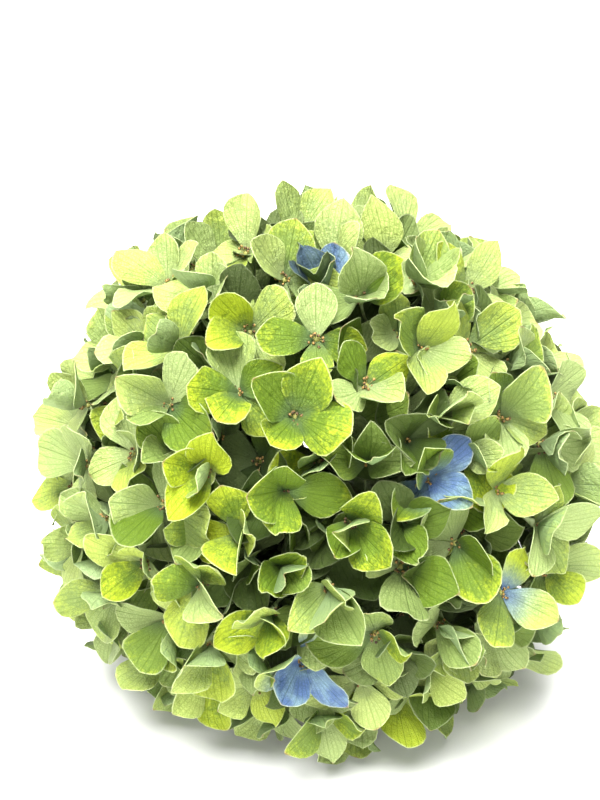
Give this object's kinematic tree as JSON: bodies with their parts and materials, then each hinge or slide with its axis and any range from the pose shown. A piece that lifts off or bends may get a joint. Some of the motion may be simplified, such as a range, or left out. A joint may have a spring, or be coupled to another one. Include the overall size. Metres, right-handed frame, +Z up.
{
  "type": "cut mophead hydrangea",
  "caption": "Cut mophead hydrangea, lying down: a globe of small green florets with a few blue ones, on a bare woody stem.",
  "frame": {"origin": "on the table, under the middle of the whole flower's box", "axes": "+Z up from the table, +Y along the stem to its cut end, -Y out of the front of the flower head"},
  "size_m": [0.185, 0.3156, 0.1662],
  "materials": {
    "sepals": "matte",
    "stalks": "satin",
    "stem": "satin"
  },
  "bodies": {
    "root": {"main_stem": "stem", "ray_01": "stalks", "ray_02": "stalks", "ray_03": "stalks", "ray_04": "stalks", "ray_05": "stalks", "ray_06": "stalks", "ray_07": "stalks", "ray_08": "stalks", "cyme_01": "sepals", "cyme_02": "sepals", "cyme_03": "sepals", "cyme_04": "sepals", "cyme_05": "sepals", "cyme_06": "sepals", "cyme_07": "sepals", "cyme_08": "sepals", "cyme_09": "sepals", "cyme_10": "sepals", "cyme_11": "sepals", "cyme_12": "sepals", "cyme_13": "sepals", "cyme_14": "sepals", "cyme_15": "sepals", "cyme_16": "sepals", "cyme_17": "sepals", "cyme_18": "sepals", "cyme_19": "sepals", "cyme_20": "sepals", "cyme_21": "sepals", "cyme_22": "sepals", "cyme_23": "sepals", "cyme_24": "sepals", "cyme_25": "sepals", "cyme_26": "sepals", "cyme_27": "sepals", "cyme_28": "sepals", "cyme_29": "sepals", "cyme_30": "sepals", "cyme_31": "sepals", "cyme_32": "sepals", "cyme_33": "sepals", "cyme_34": "sepals", "cyme_35": "sepals", "cyme_36": "sepals"}
  },
  "joints": []
}
